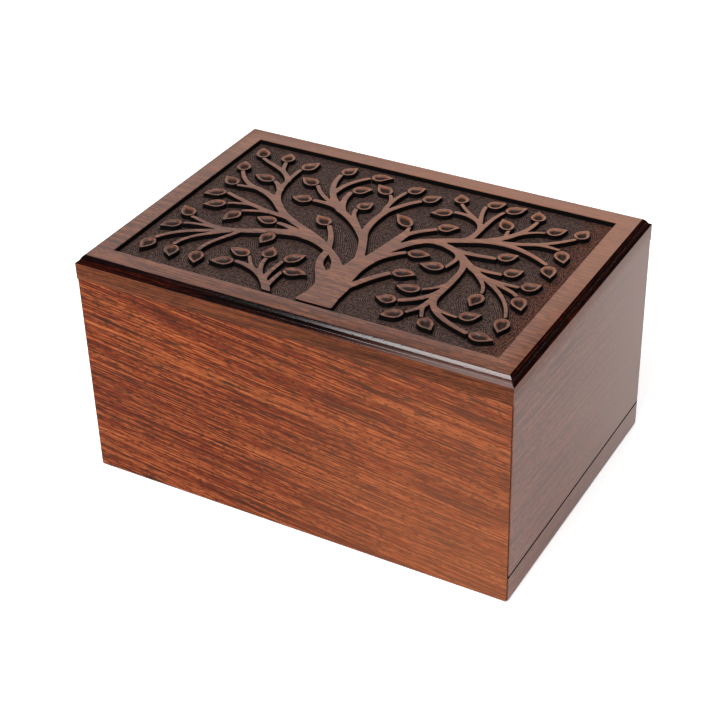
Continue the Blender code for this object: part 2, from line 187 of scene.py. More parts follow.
# A wood's shades are its dark, middle and light wood, and the ink of its flecks and pores
FRONT_FALL = math.radians(6.5)
WALL_SHADES = (
    (0.072, 0.0105, 0.0034),
    (0.158, 0.0240, 0.0058),
    (0.395, 0.1040, 0.0300),
    (0.024, 0.0100, 0.0050),
)
LOW_BOUNCE_LIGHT = (0.420, 0.150, 0.060)
PALER_TO_RIGHT = (0.250, 0.100, 0.056)

for side, fall in (("front_wall", FRONT_FALL), ("back_wall", -0.5 * FRONT_FALL)):
    material, tree, shader = new_finish(side + "_rosewood")
    colour, relief = rosewood(tree, along_grain(tree, (0.0, -fall, 0.0)), WALL_SHADES)
    to_right = measured(tree, ALONG).between(-60.0, 120.0)
    low_down = 1.0 - measured(tree, UP).between(0.0, 105.0)
    # Paler towards the right.
    colour = (to_right * 0.23).blend(colour, PALER_TO_RIGHT)
    # Lighter low down, most towards the right: painted light, as if bounced up from the floor.
    colour = (low_down * to_right * 0.2).blend(colour, LOW_BOUNCE_LIGHT)
    lacquer(shader, tree, colour, relief, 0.32, 1.145)
    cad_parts[side].data.materials[0] = material


# Right and left walls: two short boards of the same wood, quieter in figure, with their grain nearly
# level. The right one stops above the base panel's strip, and a painted shade darkens the seam between them.
QUARTER_TURN = math.radians(90)
END_RISE = math.radians(3.0)
END_SHADES = (
    (0.118, 0.033, 0.014),
    (0.178, 0.050, 0.023),
    (0.255, 0.080, 0.037),
    (0.058, 0.019, 0.010),
)
PAINTED_SHEEN = (0.240, 0.130, 0.100)
SEAM_SHADE_PAINT = {"Base Color": (0.003, 0.002, 0.0015, 1.0), "Roughness": 1.0, "Specular IOR Level": 0.0}
SEAM_WIDTH = 0.4
SEAM_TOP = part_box("right_wall")[0].z / MM
END_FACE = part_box("right_wall")[1].x / MM


def end_wood(tree, shader, rise):
    """The end boards' wood and lacquer, blended paler towards the back with a painted sheen of reflected
    light.
    """
    colour, relief = rosewood(tree, along_grain(tree, (rise, 0.0, -QUARTER_TURN)), END_SHADES, 0.9)
    to_back = measured(tree, BACK).between(-45.0, 95.0)
    lacquer(shader, tree, (to_back * 0.85).blend(colour, PAINTED_SHEEN), relief, 0.3, 1.25, 0.2)


def cover_where(where, material, tree, shader, facts):
    """Covers a finish, where a reading is 1, with a second shader made from its facts."""
    cover = tree.node("BsdfPrincipled", {}, facts)
    below = Reading(material.node_tree, shader.outputs[0])
    mixed = tree.node("MixShader", {}, {0: where, 1: below, 2: cover})
    mixed.joins(material.node_tree.nodes["Material Output"].inputs["Surface"])


def on_end_face(tree):
    """1 on the box's right-hand face, and 0 from a little behind it."""
    return measured(tree, ALONG).between(END_FACE - 0.8, END_FACE - 0.1)


for side, rise in (("right_wall", END_RISE), ("left_wall", -END_RISE)):
    material, tree, shader = new_finish(side + "_rosewood")
    end_wood(tree, shader, rise)
    if side == "right_wall":
        # The right wall's face just above the seam is painted black: painted shade of the seam's gap.
        shade_top = SEAM_TOP + SEAM_WIDTH
        seam_shaded = 1.0 - measured(tree, UP).between(shade_top, shade_top + 0.1)
        cover_where(seam_shaded * on_end_face(tree), material, tree, shader, SEAM_SHADE_PAINT)
    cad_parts[side].data.materials[0] = material


# Base panel: one board that slides in grooves and carries the strip that closes the right end.
# Its grain runs with the end walls' grain, and its underside has the same plain finish.
SEAM_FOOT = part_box("base_panel")[1].z / MM

material, tree, shader = new_finish("panel_rosewood")
end_wood(tree, shader, 0.0)
# The strip's face just below the seam is painted black: painted shade of the seam's gap.
shade_foot = SEAM_FOOT - SEAM_WIDTH
seam_shaded = measured(tree, UP).between(shade_foot - 0.1, shade_foot)
cover_where(seam_shaded * on_end_face(tree), material, tree, shader, SEAM_SHADE_PAINT)
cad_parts["base_panel"].data.materials[0] = material


# Top board: one rosewood board with a moulded edge, stained dark and polished. Inside a plain border the
# ground is cut away round a tree with curled limbs and hollowed leaves. The stain is sanded off the tops
# and stays in the ground, in the walls of the cuts and in the hollows.
GLUE_LINE = 0.02
BORDER = 13.4
END_MARGIN = 4.3
ROOT_MARGIN = 0.8
CARVE_DEPTH = 2.4
MOULDING = 3.8

board_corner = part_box("carved_top")[1]
HALF_LENGTH = board_corner.x / MM
HALF_WIDTH = board_corner.y / MM
TOP = board_corner.z / MM
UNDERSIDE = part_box("front_wall")[1].z / MM + GLUE_LINE

# The moulding's slope in degrees at shares of its length, from the border down
MOULDING_STEPS = 28
MOULDING_SLOPES = (
    (0.00, 8),
    (0.07, 33),
    (0.40, 52),
    (0.46, 58),
    (0.66, 57),
    (0.70, 29),
    (0.96, 27),
    (1.00, 88),
)

# The carver's drawing, in millimetres from the field's middle, before it is fitted to the field. A limb
# bends by a share of its length. Leaves widen quickly from a blunt base and run out to a point.
LIMB_BEND = 0.38
NOTCH = 0.5
LEAF_WIDTH = 7.4
LEAF_BLUNT = 0.5
LEAF_FULL = 2.0
LEAF_POINT = 1.6
LEAF_CROWDING = 1.5
LEAF_BENDING = 1.5
LEAF_STEPS = 24

# Each row is a limb, which grows from the last row above it that stands one level higher: its level,
# how far along that limb it starts, the turn that it starts with, its tip, the heading there, and its
# width at both ends. A limb that bears a leaf goes on with the leaf's heading, its length and its curl.
TREE_ROOT = (7.8, -64.7)
TREE = (
    (0, 0.00, 90, 8.2, -54.0, 90, 19.8, 16.0),
    (0, 0.00, 90, 8.2, -46.5, 90, 17.2, 16.6),
    (0, 0.00, 90, 8.8, -20.0, 88, 16.6, 9.0),
    # the limb that crosses over to the left, and the twig beyond the crossing
    (1, 0.14, 8, -10.0, -20.5, 93, 11.0, 3.6),
    (2, 1.00, 15, -21.8, 1.8, 128, 3.6, 2.8, 152, 12.0, -10),
    # the great left limb, first its upper arm and then its lower one
    (1, 0.48, 30, -12.0, -17.8, 149, 8.4, 3.0),
    (2, 0.90, -8, -54.0, 7.7, 133, 3.4, 4.4),
    (3, 0.75, 28, -84.6, 8.0, 162, 3.6, 2.5, 200, 12.0, 35),
    (4, 0.50, 10, -78.6, -1.5, 205, 2.4, 2.2, 209, 12.0, 10),
    (4, 0.20, 15, -68.0, -5.4, 215, 2.6, 2.4, 254, 12.0, 0),
    (3, 1.00, 0, -64.0, 36.0, 93, 4.2, 2.6),
    (4, 0.02, 8, -75.0, 18.8, 168, 4.4, 3.4),
    (5, 1.00, -4, -90.3, 31.3, 126, 3.2, 2.4, 114, 10.5, 0),
    (5, 0.92, 12, -84.8, 16.9, 183, 2.8, 2.4, 150, 11.5, 0),
    (4, 0.55, 30, -69.8, 29.2, 150, 3.6, 2.3, 173, 13.0, 0),
    (4, 0.88, 25, -88.5, 48.2, 150, 3.4, 2.4, 121, 11.5, 0),
    (5, 0.35, -20, -75.3, 49.2, 116, 2.8, 2.3, 104, 10.0, 0),
    (4, 1.00, 0, -64.0, 45.8, 88, 2.6, 2.5, 62, 11.7, 0),
    (2, 0.85, 5, -38.0, -13.8, 196, 4.2, 5.6),
    (3, 0.60, -10, -45.9, -7.4, 178, 5.0, 2.5, 178, 12.0, 0),
    (3, 1.00, 0, -64.0, -23.8, 190, 5.6, 3.6),
    (4, 0.10, 60, -42.3, -16.5, 270, 3.0, 2.4, 268, 12.0, 0),
    (4, 0.75, 50, -65.3, -47.3, 275, 2.8, 2.6, 294, 12.0, 0),
    (4, 0.85, 28, -79.0, -48.0, 266, 3.0, 2.4, 294, 11.0, 0),
    (4, 0.90, 18, -91.0, -46.5, 245, 3.4, 2.5, 268, 11.5, 0),
    (4, 1.00, 6, -86.8, -28.3, 205, 2.6, 2.2, 205, 11.5, 45),
    (4, 1.00, 0, -87.0, -20.6, 165, 3.0, 2.3, 141, 12.0, 0),
    # the middle limb
    (1, 0.90, 20, -3.5, 4.0, 115, 5.0, 4.2),
    (2, 0.70, 12, -26.0, 18.3, 150, 3.8, 4.0),
    (3, 0.32, -15, -17.9, 22.3, 92, 2.8, 2.5, 62, 10.0, 0),
    (3, 0.90, -25, -28.8, 36.3, 88, 4.0, 2.9, 50, 11.0, -35),
    (3, 0.95, -10, -42.6, 50.3, 92, 4.6, 2.6, 66, 10.5, 0),
    (4, 0.45, -33, -27.3, 53.3, 46, 3.4, 2.6, 35, 11.5, -30),
    (3, 1.00, 0, -47.7, 35.0, 125, 2.8, 2.4, 162, 12.0, 0),
    (3, 1.00, 5, -42.0, 20.3, 181, 3.4, 2.9, 190, 11.5, 0),
    (2, 0.95, -10, -3.2, 28.5, 80, 4.0, 3.6),
    (3, 0.80, 22, -3.8, 48.3, 74, 3.0, 2.4, 49, 10.5, 0),
    (4, 0.45, 25, -10.2, 42.3, 135, 2.4, 2.2, 146, 12.5, 0),
    (3, 0.95, -16, 7.0, 43.6, 48, 3.4, 3.0, 50, 11.0, 0),
    # two twigs low on the right of the trunk
    (1, 0.15, -28, 26.3, -24.3, 50, 5.0, 3.2, 30, 12.0, -40),
    (1, 0.75, -15, 24.0, -4.4, 38, 5.2, 3.0, 12, 12.0, 0),
    # the trunk's upper end and its two twigs
    (1, 0.75, -14, 15.6, 12.5, 82, 8.2, 4.8),
    (2, 0.93, 8, 14.0, 17.6, 95, 3.0, 2.2, 138, 15.0, 15),
    (2, 0.89, -8, 26.7, 21.8, 42, 3.6, 3.0, 45, 11.0, -40),
    # the great right limb and its upper arms
    (2, 0.44, -18, 34.0, 11.9, 12, 5.6, 4.4),
    (3, 0.90, 12, 53.0, 22.3, 28, 4.6, 4.4),
    (4, 0.55, 30, 45.3, 30.0, 92, 4.0, 3.2),
    (5, 1.00, 8, 26.2, 40.6, 190, 3.4, 2.6, 210, 11.5, 0),
    (6, 0.25, -20, 38.0, 53.0, 92, 2.8, 2.4, 42, 10.5, 0),
    (6, 0.40, -5, 25.8, 50.0, 130, 2.4, 2.2, 116, 9.5, 0),
    (5, 1.00, -8, 48.6, 51.5, 68, 3.2, 2.2, 45, 12.0, 0),
    (4, 1.00, 14, 66.8, 50.0, 90, 4.8, 2.3, 110, 10.0, 0),
    (5, 0.25, 25, 58.3, 36.3, 72, 3.0, 1.8, 132, 12.0, 0),
    (5, 0.48, -20, 74.8, 41.6, 12, 2.8, 1.8, 42, 11.0, 0),
    (4, 1.00, -18, 90.0, 43.0, 52, 3.6, 2.4, 78, 10.5, 0),
    (5, 0.50, -8, 87.8, 29.6, -6, 3.0, 2.2, 300, 12.0, 0),
    (4, 0.90, -10, 87.8, 14.3, -30, 4.4, 2.4, 300, 11.5, 0),
    # its lower arms, which fall and curl
    (3, 0.85, -20, 54.5, -9.0, -85, 4.2, 3.3),
    (4, 0.30, 5, 64.3, 9.3, 8, 3.6, 2.8, 42, 11.0, 0),
    (4, 0.50, -15, 46.4, -8.8, 262, 3.0, 2.2, 194, 12.5, -15),
    (4, 0.55, 5, 70.0, -9.9, -15, 4.4, 3.4),
    (5, 0.35, 18, 73.0, -2.6, 5, 3.2, 2.6, 45, 10.5, 0),
    (5, 0.90, 8, 84.7, -9.4, 0, 3.2, 2.6, 30, 10.5, 25),
    (5, 1.00, -8, 87.0, -17.0, -38, 3.0, 2.4, 303, 12.0, 0),
    (5, 0.70, 0, 89.8, -35.8, -72, 3.0, 1.9, 280, 12.5, 0),
    (5, 0.60, -15, 71.3, -22.0, -85, 2.6, 2.0, 271, 12.0, 0),
    (4, 1.00, 0, 54.0, -36.0, 268, 3.2, 4.2),
    (5, 0.35, -12, 45.6, -31.0, 218, 2.6, 2.0, 195, 12.5, -18),
    (5, 0.70, -15, 40.2, -44.0, 208, 3.4, 3.0, 194, 10.5, -18),
    (5, 0.90, 10, 80.8, -54.6, -17, 3.6, 2.8, 0, 12.5, 0),
    (6, 0.25, 30, 71.0, -44.8, -2, 2.4, 2.0, 38, 11.0, 0),
    (5, 1.00, 0, 52.5, -45.0, 262, 3.6, 3.2),
    (6, 0.90, -15, 48.0, -51.5, 235, 2.8, 2.2, 218, 11.5, 0),
    (6, 0.80, 25, 56.5, -52.0, 290, 2.6, 2.0, 320, 11.5, 0),
)
SAPLING_ROOT = (-16.5, -64.7)
SAPLING = (
    (0, 0.00, 122, -44.4, -47.6, 178, 4.5, 2.8, 205, 12.0, 0),
    (1, 0.10, -25, -19.3, -46.2, 88, 3.0, 2.4, 30, 12.0, -50),
    (1, 0.30, -30, -24.0, -37.6, 90, 3.0, 2.4, 52, 12.0, 0),
    (1, 0.45, -25, -32.3, -38.8, 92, 3.0, 2.4, 104, 10.5, 0),
    (1, 0.65, -20, -40.8, -40.3, 125, 2.4, 2.0, 170, 12.5, 0),
)


def aim(degrees):
    """A heading as a point at distance 1. Places on the board are complex numbers, x + y j."""
    return np.exp(1j * np.radians(degrees))


def along(limb, share):
    """Place and direction at shares of a limb: four guide points give way to the three points at that
    share between neighbours, those to two, and the place lies at that share between the two."""
    points = limb
    while len(points) > 2:
        points = [a + (b - a) * share for a, b in zip(points, points[1:])]
    return points[0] + (points[1] - points[0]) * share, points[1] - points[0]


def grow(root, rows):
    """Each row's limb as four guide points, with its two widths and its leaf."""
    newest = {}
    for level, share, turn, x, y, heading, wide, narrow, *leaf in rows:
        start, way = complex(*root), 0.0
        if level > 0:
            start, direction = along(newest[level - 1], share)
            way = np.degrees(np.angle(direction))
        tip = complex(x, y)
        reach = LIMB_BEND * abs(tip - start)
        newest[level] = [start, start + reach * aim(way + turn), tip - reach * aim(heading), tip]
        yield newest[level], wide, narrow, leaf


def leaf_outline(base, heading, length, curl):
    """Round a leaf, with half widths laid off from its curled midrib: the share along the leaf to the
    power LEAF_BLUNT, times the power LEAF_POINT of one less that share to the power LEAF_FULL."""
    shares = (np.arange(LEAF_STEPS + 1) / LEAF_STEPS) ** LEAF_CROWDING
    half = shares ** LEAF_BLUNT * (1 - shares ** LEAF_FULL) ** LEAF_POINT
    half *= LEAF_WIDTH / 2 / half.max()
    bent = curl * shares ** LEAF_BENDING
    midrib = base + length * shares * aim(heading + bent / (LEAF_BENDING + 1))
    right = midrib - half * aim(heading + bent + 90)
    left = midrib + half * aim(heading + bent + 90)
    return np.concatenate([right, left[-2:0:-1]])


LIMB_RUN = 1.2
FEWEST_RUNS = 6


def limb_inside(place, limb, wide, narrow):
    """How far a place lies inside a limb: half the limb's width less the distance to its midline.
    The midline is taken in short straight runs, and the tip is cut off square."""
    runs = max(FEWEST_RUNS, round(abs(limb[3] - limb[0]) / LIMB_RUN))
    share = np.linspace(0.0, 1.0, runs + 1)
    line = along(limb, share)[0]
    half = (wide + (narrow - wide) * share) / 2
    inside = np.full(place.shape, -np.inf)
    for number in range(runs):
        start, run = line[number], line[number + 1] - line[number]
        way = ((place - start) * run.conjugate()).real / abs(run) ** 2
        met = np.clip(way, 0.0, 1.0)
        here = half[number] + (half[number + 1] - half[number]) * met - abs(place - start - run * met)
        if number == runs - 1:
            here = np.minimum(here, (1 - way) * abs(run))
        inside = np.maximum(inside, here)
    return inside


def outline_inside(place, outline):
    """Distance to the nearest side of a closed outline, positive inside, where a ray crosses it oddly."""
    distance = np.full(place.shape, np.inf)
    within = np.zeros(place.shape, bool)
    for start, end in zip(outline, np.roll(outline, -1)):
        side = end - start
        offset = (place - start) * side.conjugate()
        met = np.clip(offset.real / abs(side) ** 2, 0.0, 1.0)
        distance = np.minimum(distance, abs(place - start - side * met))
        spans = (start.imag > place.imag) != (end.imag > place.imag)
        within ^= spans & ((offset.imag > 0) == (side.imag > 0))
    return np.where(within, distance, -distance)


# Each limb comes with the fillet at its fork, and the drawing is fitted to the field by the leaves' reach
# and the root's. The field itself is a grid of places on the drawing.
GRID_STEP = 0.53
FAR = 14.0
FORK_SHARE = 0.16

field_x = HALF_LENGTH - BORDER
field_y = HALF_WIDTH - BORDER
limbs, leaves = [], []
for root, table in ((TREE_ROOT, TREE), (SAPLING_ROOT, SAPLING)):
    for limb, wide, narrow, leaf in grow(root, table):
        fillet = 0.0 if limb[0] == complex(*root) else FORK_SHARE * wide
        limbs.append((limb, fillet, wide, narrow))
        if leaf:
            leaves.append((leaf_outline(limb[3] + NOTCH * aim(leaf[0]), *leaf), 0.0))
leaf_reach = max(abs(outline.real).max() for outline, _ in leaves)
fit_x = (field_x - END_MARGIN) / leaf_reach
fit_y = (field_y - ROOT_MARGIN) / abs(TREE_ROOT[1])

grid_x = np.linspace(-field_x / fit_x, field_x / fit_x, round(2 * field_x / GRID_STEP) + 1)
grid_y = np.linspace(-field_y / fit_y, field_y / fit_y, round(2 * field_y / GRID_STEP) + 1)
place = grid_x[None, :] + 1j * grid_y[:, None]


def map_inside(shapes, inside_of):
    """The greatest distance inside any of some shapes, each worked out only where it can matter. Where
    two are nearly equal it is raised by up to a quarter of the fillet, which rounds the forks out."""
    deepest = np.full(place.shape, -FAR)
    for outline, fillet, *facts in shapes:
        points = np.asarray(outline)
        in_x = slice(*np.searchsorted(grid_x, (points.real.min() - FAR, points.real.max() + FAR)))
        in_y = slice(*np.searchsorted(grid_y, (points.imag.min() - FAR, points.imag.max() + FAR)))
        here = inside_of(place[in_y, in_x], outline, *facts)
        so_far = deepest[in_y, in_x]
        alike = np.clip(1 - abs(so_far - here) / max(fillet, 0.001), 0, None)
        deepest[in_y, in_x] = np.maximum(so_far, here) + fillet / 4 * alike ** 2
    return deepest


# The slit between the two limbs that cross on the trunk is a spindle: its half width is a power of the
# sine of half a turn from its foot to its top.
SLIT_FOOT = complex(-1.2, -36.4)
SLIT_HEADING = 116.5
SLIT_LENGTH = 15.6
SLIT_WIDTH = 3.7
SLIT_STEPS = 12

slit_share = np.linspace(0.0, 1.0, SLIT_STEPS + 1)
slit_side = 1j * SLIT_WIDTH / 2 * np.sin(math.pi * slit_share) ** 1.3
slit_right = SLIT_LENGTH * slit_share - slit_side
slit_left = SLIT_LENGTH * slit_share + slit_side
slit = SLIT_FOOT + np.concatenate([slit_right, slit_left[-2:0:-1]]) * aim(SLIT_HEADING)

# Limbs are cut a little narrower than drawn. A groove parts them from every leaf, and a cut below the feet
# of the tree and the sapling parts them from the border.
NARROWED = 0.2
LEAF_GROOVE = 0.6
FOOT_CUT = 0.9

in_limb = map_inside(limbs, limb_inside) - NARROWED
in_leaf = map_inside(leaves, outline_inside)
in_limb = np.minimum(in_limb, -in_leaf - LEAF_GROOVE)
in_limb = np.minimum(in_limb, place.imag - TREE_ROOT[1] - FOOT_CUT)
in_limb = np.minimum(in_limb, -map_inside([(slit, 0.0)], outline_inside))
from_edge = np.minimum(grid_x[-1] - abs(place.real), grid_y[-1] - abs(place.imag))
inside = np.maximum(np.maximum(in_limb, in_leaf), -from_edge)


def neighbours(values, across, down, beyond):
    """The same map seen one step aside, with a given value past its edges."""
    padded = np.pad(values, 1, constant_values=beyond)
    height, width = values.shape
    return padded[1 + down:1 + down + height, 1 + across:1 + across + width]


# Places on either side of a cut's edge are drawn along the grid to where the edge crosses it, so that the
# walls of the cuts stand steep and follow the drawing.
STEEP = 0.05

step_x = grid_x[1] - grid_x[0]
step_y = grid_y[1] - grid_y[0]
raised = inside > 0
nearest = np.full(place.shape, np.inf)
drawn_in = np.zeros(place.shape, complex)
for across, down in ((1, 0), (-1, 0), (0, 1), (0, -1)):
    beside = neighbours(inside, across, down, -FAR)
    crossed = raised != (beside > 0)
    crossed[[0, -1], :] = False
    crossed[:, [0, -1]] = False
    offset = complex(across * step_x, down * step_y)
    way = abs(offset) * inside / np.where(crossed, inside - beside, 1.0)
    closer = crossed & (way < nearest)
    nearest = np.where(closer, way, nearest)
    drawn_in = np.where(closer, offset / abs(offset) * (way - STEEP), drawn_in)
at_edge = np.isfinite(nearest)

# Depths below the top in millimetres: tops with a worn arris, leaves hollowed inside their rims, and a
# ground that is slightly uneven and rises where a cut is too narrow for the gouge.
ARRIS_DROP = 0.1
ARRIS_REACH = 0.5
RIM = 0.6
HOLLOW_RUN = 2.5
HOLLOW_DEPTH = 1.5
NARROWEST_CUT = 0.3
UNEVEN = 0.1

open_ground = np.maximum(-inside, 0.0)
for _ in range(2):
    around = [neighbours(open_ground, across, down, 0.0) for across in (-1, 0, 1) for down in (-1, 0, 1)]
    open_ground = np.max(around, axis=0)
true_inside = np.where(at_edge, np.where(raised, STEEP, -STEEP), inside)
hollow = np.clip((np.where(at_edge, 0.0, in_leaf) - RIM) / HOLLOW_RUN, 0.0, 1.0)
top_depth = ARRIS_DROP * (1 - np.clip(true_inside / ARRIS_REACH, 0.0, 1.0)) ** 2
top_depth += HOLLOW_DEPTH * hollow ** 2 * (3 - 2 * hollow)
waves = np.sin(place.real * 0.9 + 2 * np.sin(place.imag * 0.31))
waves += np.sin(place.imag * 1.1 + 2 * np.sin(place.real * 0.23))
ground_depth = CARVE_DEPTH * np.clip(NARROWEST_CUT + open_ground, 0.0, 1.0)
ground_depth -= UNEVEN * (1 + waves / 2) * np.clip(open_ground - 1, 0, 1)
depth = np.where(raised, top_depth, ground_depth)

carved = place + drawn_in
field = np.stack([carved.real * fit_x, carved.imag * fit_y, TOP - depth], axis=-1)


def grid_triangles(heights):
    """Two triangles for each cell of a grid, cut along the diagonal whose ends are nearer in height."""
    down, across = heights.shape
    number = np.arange(down * across).reshape(down, across)
    cell_corners = (number[:-1, :-1], number[:-1, 1:], number[1:, 1:], number[1:, :-1])
    a, b, c, d = (corner.ravel() for corner in cell_corners)
    level = heights.ravel()
    along_ac = abs(level[a] - level[c]) <= abs(level[b] - level[d])
    first = np.where(along_ac[:, None], np.stack([a, b, c], 1), np.stack([a, b, d], 1))
    second = np.where(along_ac[:, None], np.stack([a, c, d], 1), np.stack([b, c, d], 1))
    return np.concatenate([first, second])


def rim_numbers(down, across):
    """The numbers of a grid's rim, counterclockwise from its first corner, and where each corner stands."""
    number = np.arange(down * across).reshape(down, across)
    sides = [number[0, :-1], number[:-1, -1], number[-1, :0:-1], number[:0:-1, 0]]
    return np.concatenate(sides), np.cumsum([0] + [len(side) for side in sides])


def ring_faces(lower, upper):
    """A band of four-sided faces between two closed rings of vertex numbers."""
    return np.stack([lower, np.roll(lower, -1), np.roll(upper, -1), upper], 1)


def rectangle(inset, height):
    """Four corners of the board, counterclockwise, drawn in by an inset at a height."""
    x, y = HALF_LENGTH - inset, HALF_WIDTH - inset
    return np.array([(-x, -y, height), (x, -y, height), (x, y, height), (-x, y, height)])


def moulding():
    """The moulded edge from the border down, as insets and drops. The slope is given at shares of its
    length; steps along the slope are added up and stretched to the moulding's reach both ways."""
    shares, slopes = np.array(MOULDING_SLOPES).T
    share = np.linspace(0.0, 1.0, MOULDING_STEPS + 1)
    slope = np.radians(np.interp((share[1:] + share[:-1]) / 2, shares, slopes))
    out = np.concatenate([[0.0], np.cumsum(np.cos(slope))])
    drop = np.concatenate([[0.0], np.cumsum(np.sin(slope))])
    return list(zip(MOULDING * (1 - out / out[-1]), MOULDING * drop / drop[-1]))


def new_mesh(name, points, faces, finishes, smooth_below, mitred_from):
    """A mesh in metres from points in millimetres and rows of vertex numbers, each group with its finish.
    Edges that lead from corner to corner of the rings of four stay sharp, so that the mitres show."""
    mesh = bpy.data.meshes.new(name)
    flat = [list(face) for group, _ in faces for face in group]
    mesh.from_pydata((points * MM).tolist(), [], flat)
    for finish in finishes:
        mesh.materials.append(finish)
    number = np.concatenate([np.full(len(group), index, np.int32) for group, index in faces])
    mesh.polygons.foreach_set("material_index", number)
    mesh.polygons.foreach_set("use_smooth", np.ones(len(flat), bool))
    mesh.set_sharp_from_angle(angle=smooth_below)
    ends = np.empty(2 * len(mesh.edges), np.int32)
    mesh.edges.foreach_get("vertices", ends)
    ends = ends.reshape(-1, 2) - mitred_from
    sharp = np.empty(len(mesh.edges), bool)
    mesh.edges.foreach_get("use_edge_sharp", sharp)
    sharp |= (ends.min(1) >= 0) & (ends[:, 0] % 4 == ends[:, 1] % 4)
    mesh.edges.foreach_set("use_edge_sharp", sharp)
    mesh.update()
    obj = bpy.data.objects.new(name, mesh)
    bpy.context.scene.collection.objects.link(obj)
    return obj


# The board is the carved field, its upright rim and the worn arris above it, the border, the rings of the
# moulding from the top down, the plain edge below them, and the underside.
SMOOTH_BELOW = math.radians(42)

rim, corners = rim_numbers(*place.shape)
foot = field.reshape(-1, 3)[rim]
wall_top = foot.copy()
wall_top[:, 2] = TOP - ARRIS_DROP
flat_ring = wall_top.copy()
outward = np.sign(foot[:, :2]) * (abs(foot[:, :2]) >= np.array([field_x, field_y]) - 0.001)
flat_ring[:, :2] += ARRIS_REACH * outward
flat_ring[:, 2] = TOP
field_count = place.size
wall_numbers = field_count + np.arange(len(rim))
flat_numbers = wall_numbers + len(rim)
rings = [rectangle(inset, TOP - drop) for inset, drop in moulding()]
rings.append(rectangle(0.0, UNDERSIDE))
first_ring = flat_numbers[-1] + 1
ring_numbers = [np.arange(4) + first_ring + 4 * ring for ring in range(len(rings))]
border_faces = []
for side in range(4):
    inner = flat_numbers[np.arange(corners[side], corners[side + 1] + 1) % len(rim)]
    outer = ring_numbers[0][[side, (side + 1) % 4]]
    border_faces.append(np.concatenate([outer, inner[::-1]]))
steps_down = zip(ring_numbers[:-2], ring_numbers[1:-1])
moulded = np.concatenate([ring_faces(lower, upper) for upper, lower in steps_down])
edge_band = ring_faces(ring_numbers[-1], ring_numbers[-2])
points = np.concatenate([field.reshape(-1, 3), wall_top, flat_ring, *rings])
carved_faces = [grid_triangles(field[:, :, 2])]
carved_faces.append(ring_faces(rim, wall_numbers))
carved_faces.append(ring_faces(wall_numbers, flat_numbers))


# Finishes of the board: sanded wood on the tops and the border, browner in the hollows of the leaves, and a
# black-brown stain on the ground and the walls of the cuts, with painted shade along the foot of the walls.
# The ground shows the rows of the gouge, their crests lit by a painted highlight. The polished moulding is
# nearly black, and along the front it is painted paler towards the right with reflected light.
GRAIN_TURN = math.radians(1.5)
ROW_SPACING = 1.0
TOP_SHADES = (
    (0.050, 0.014, 0.0070),
    (0.110, 0.032, 0.0145),
    (0.220, 0.074, 0.0300),
    (0.024, 0.009, 0.0060),
)
TOP_PALER = (0.310, 0.115, 0.052)
HOLLOW_STAIN = (0.017, 0.008, 0.006)
CREST_HIGHLIGHT = (0.076, 0.043, 0.034)
GROUND_RED = (0.115, 0.038, 0.021)
GROUND_DARK = (0.0065, 0.0018, 0.0012)
CUT_WALL = (0.0012, 0.0004, 0.0003)
MOULDING_SHADES = (
    (0.0006, 0.0001, 0.0001),
    (0.0048, 0.0004, 0.0002),
    (0.0460, 0.0045, 0.0010),
    (0.0010, 0.0003, 0.0002),
)
POLISH = 0.13
COVE_PAINTED_LIGHT = (0.070, 0.028, 0.019)
LIP_PAINTED_SHEEN = (0.110, 0.052, 0.042)
EDGE_SHADES = (
    (0.055, 0.015, 0.0060),
    (0.112, 0.029, 0.0105),
    (0.190, 0.053, 0.0180),
    (0.026, 0.010, 0.0050),
)

carved_finish, tree, sanded = new_finish("carved_rosewood")
grain = along_grain(tree, (0.0, 0.0, GRAIN_TURN))
colour, relief = rosewood(tree, grain, TOP_SHADES, 0.9, 0.5)
to_back = measured(tree, ALONG) * 0.35 + measured(tree, BACK)
colour = (to_back.between(-60.0, 110.0) * 0.5).blend(colour, TOP_PALER)
sunk = TOP - measured(tree, UP)
colour = (sunk.between(0.15, 0.9) * 0.75).blend(colour, HOLLOW_STAIN)
lacquer(sanded, tree, colour, relief, 0.38, 1.42, 0.25)

upright = tree.node("SeparateXYZ", {}, {0: tree.node("NewGeometry", output=1)}, output=2)
cut = tree.node("Attribute", {"attribute_name": "cut"}, output=2)
wander = fibres(tree, grain, 9.0, 9.0, detail=1.0)
gouge_rows = ((cut + 0.8 * wander) * (2 * math.pi / ROW_SPACING)).sine() * 0.5 + 0.5
bits = fibres(tree, grain, 1.2, 1.2, detail=1.0).between(0.3, 0.7)
gouged = gouge_rows * 0.52 + bits * 0.48
# The crests of the gouge rows are lighter: a painted highlight, redder towards the right.
crest_highlight = measured(tree, ALONG).between(80.0, 101.0).blend(CREST_HIGHLIGHT, GROUND_RED)
ground = gouged.between(0.25, 0.82).blend(GROUND_DARK, crest_highlight)
# Within about a millimetre of each wall the ground turns to the walls' near-black: partly the stain, partly
# painted shade at the foot of the walls.
ground = cut.between(0.1, 1.2).blend(CUT_WALL, ground)
on_level = upright.between(0.25, 0.55)
in_ground = cut.between(0.0, 0.1)
stain = {
    "Base Color": on_level.blend(CUT_WALL, in_ground.blend(HOLLOW_STAIN, ground)),
    "Roughness": 0.7,
    "Specular IOR Level": 0.15,
    "Normal": tree.node("Bump", {}, {"Height": gouged, "Strength": 0.8, "Distance": 0.15 * MM}),
}
stained = in_ground.larger(1.0 - on_level).larger(sunk.between(0.35, 1.1) * 0.95)
cover_where(stained, carved_finish, tree, sanded, stain)

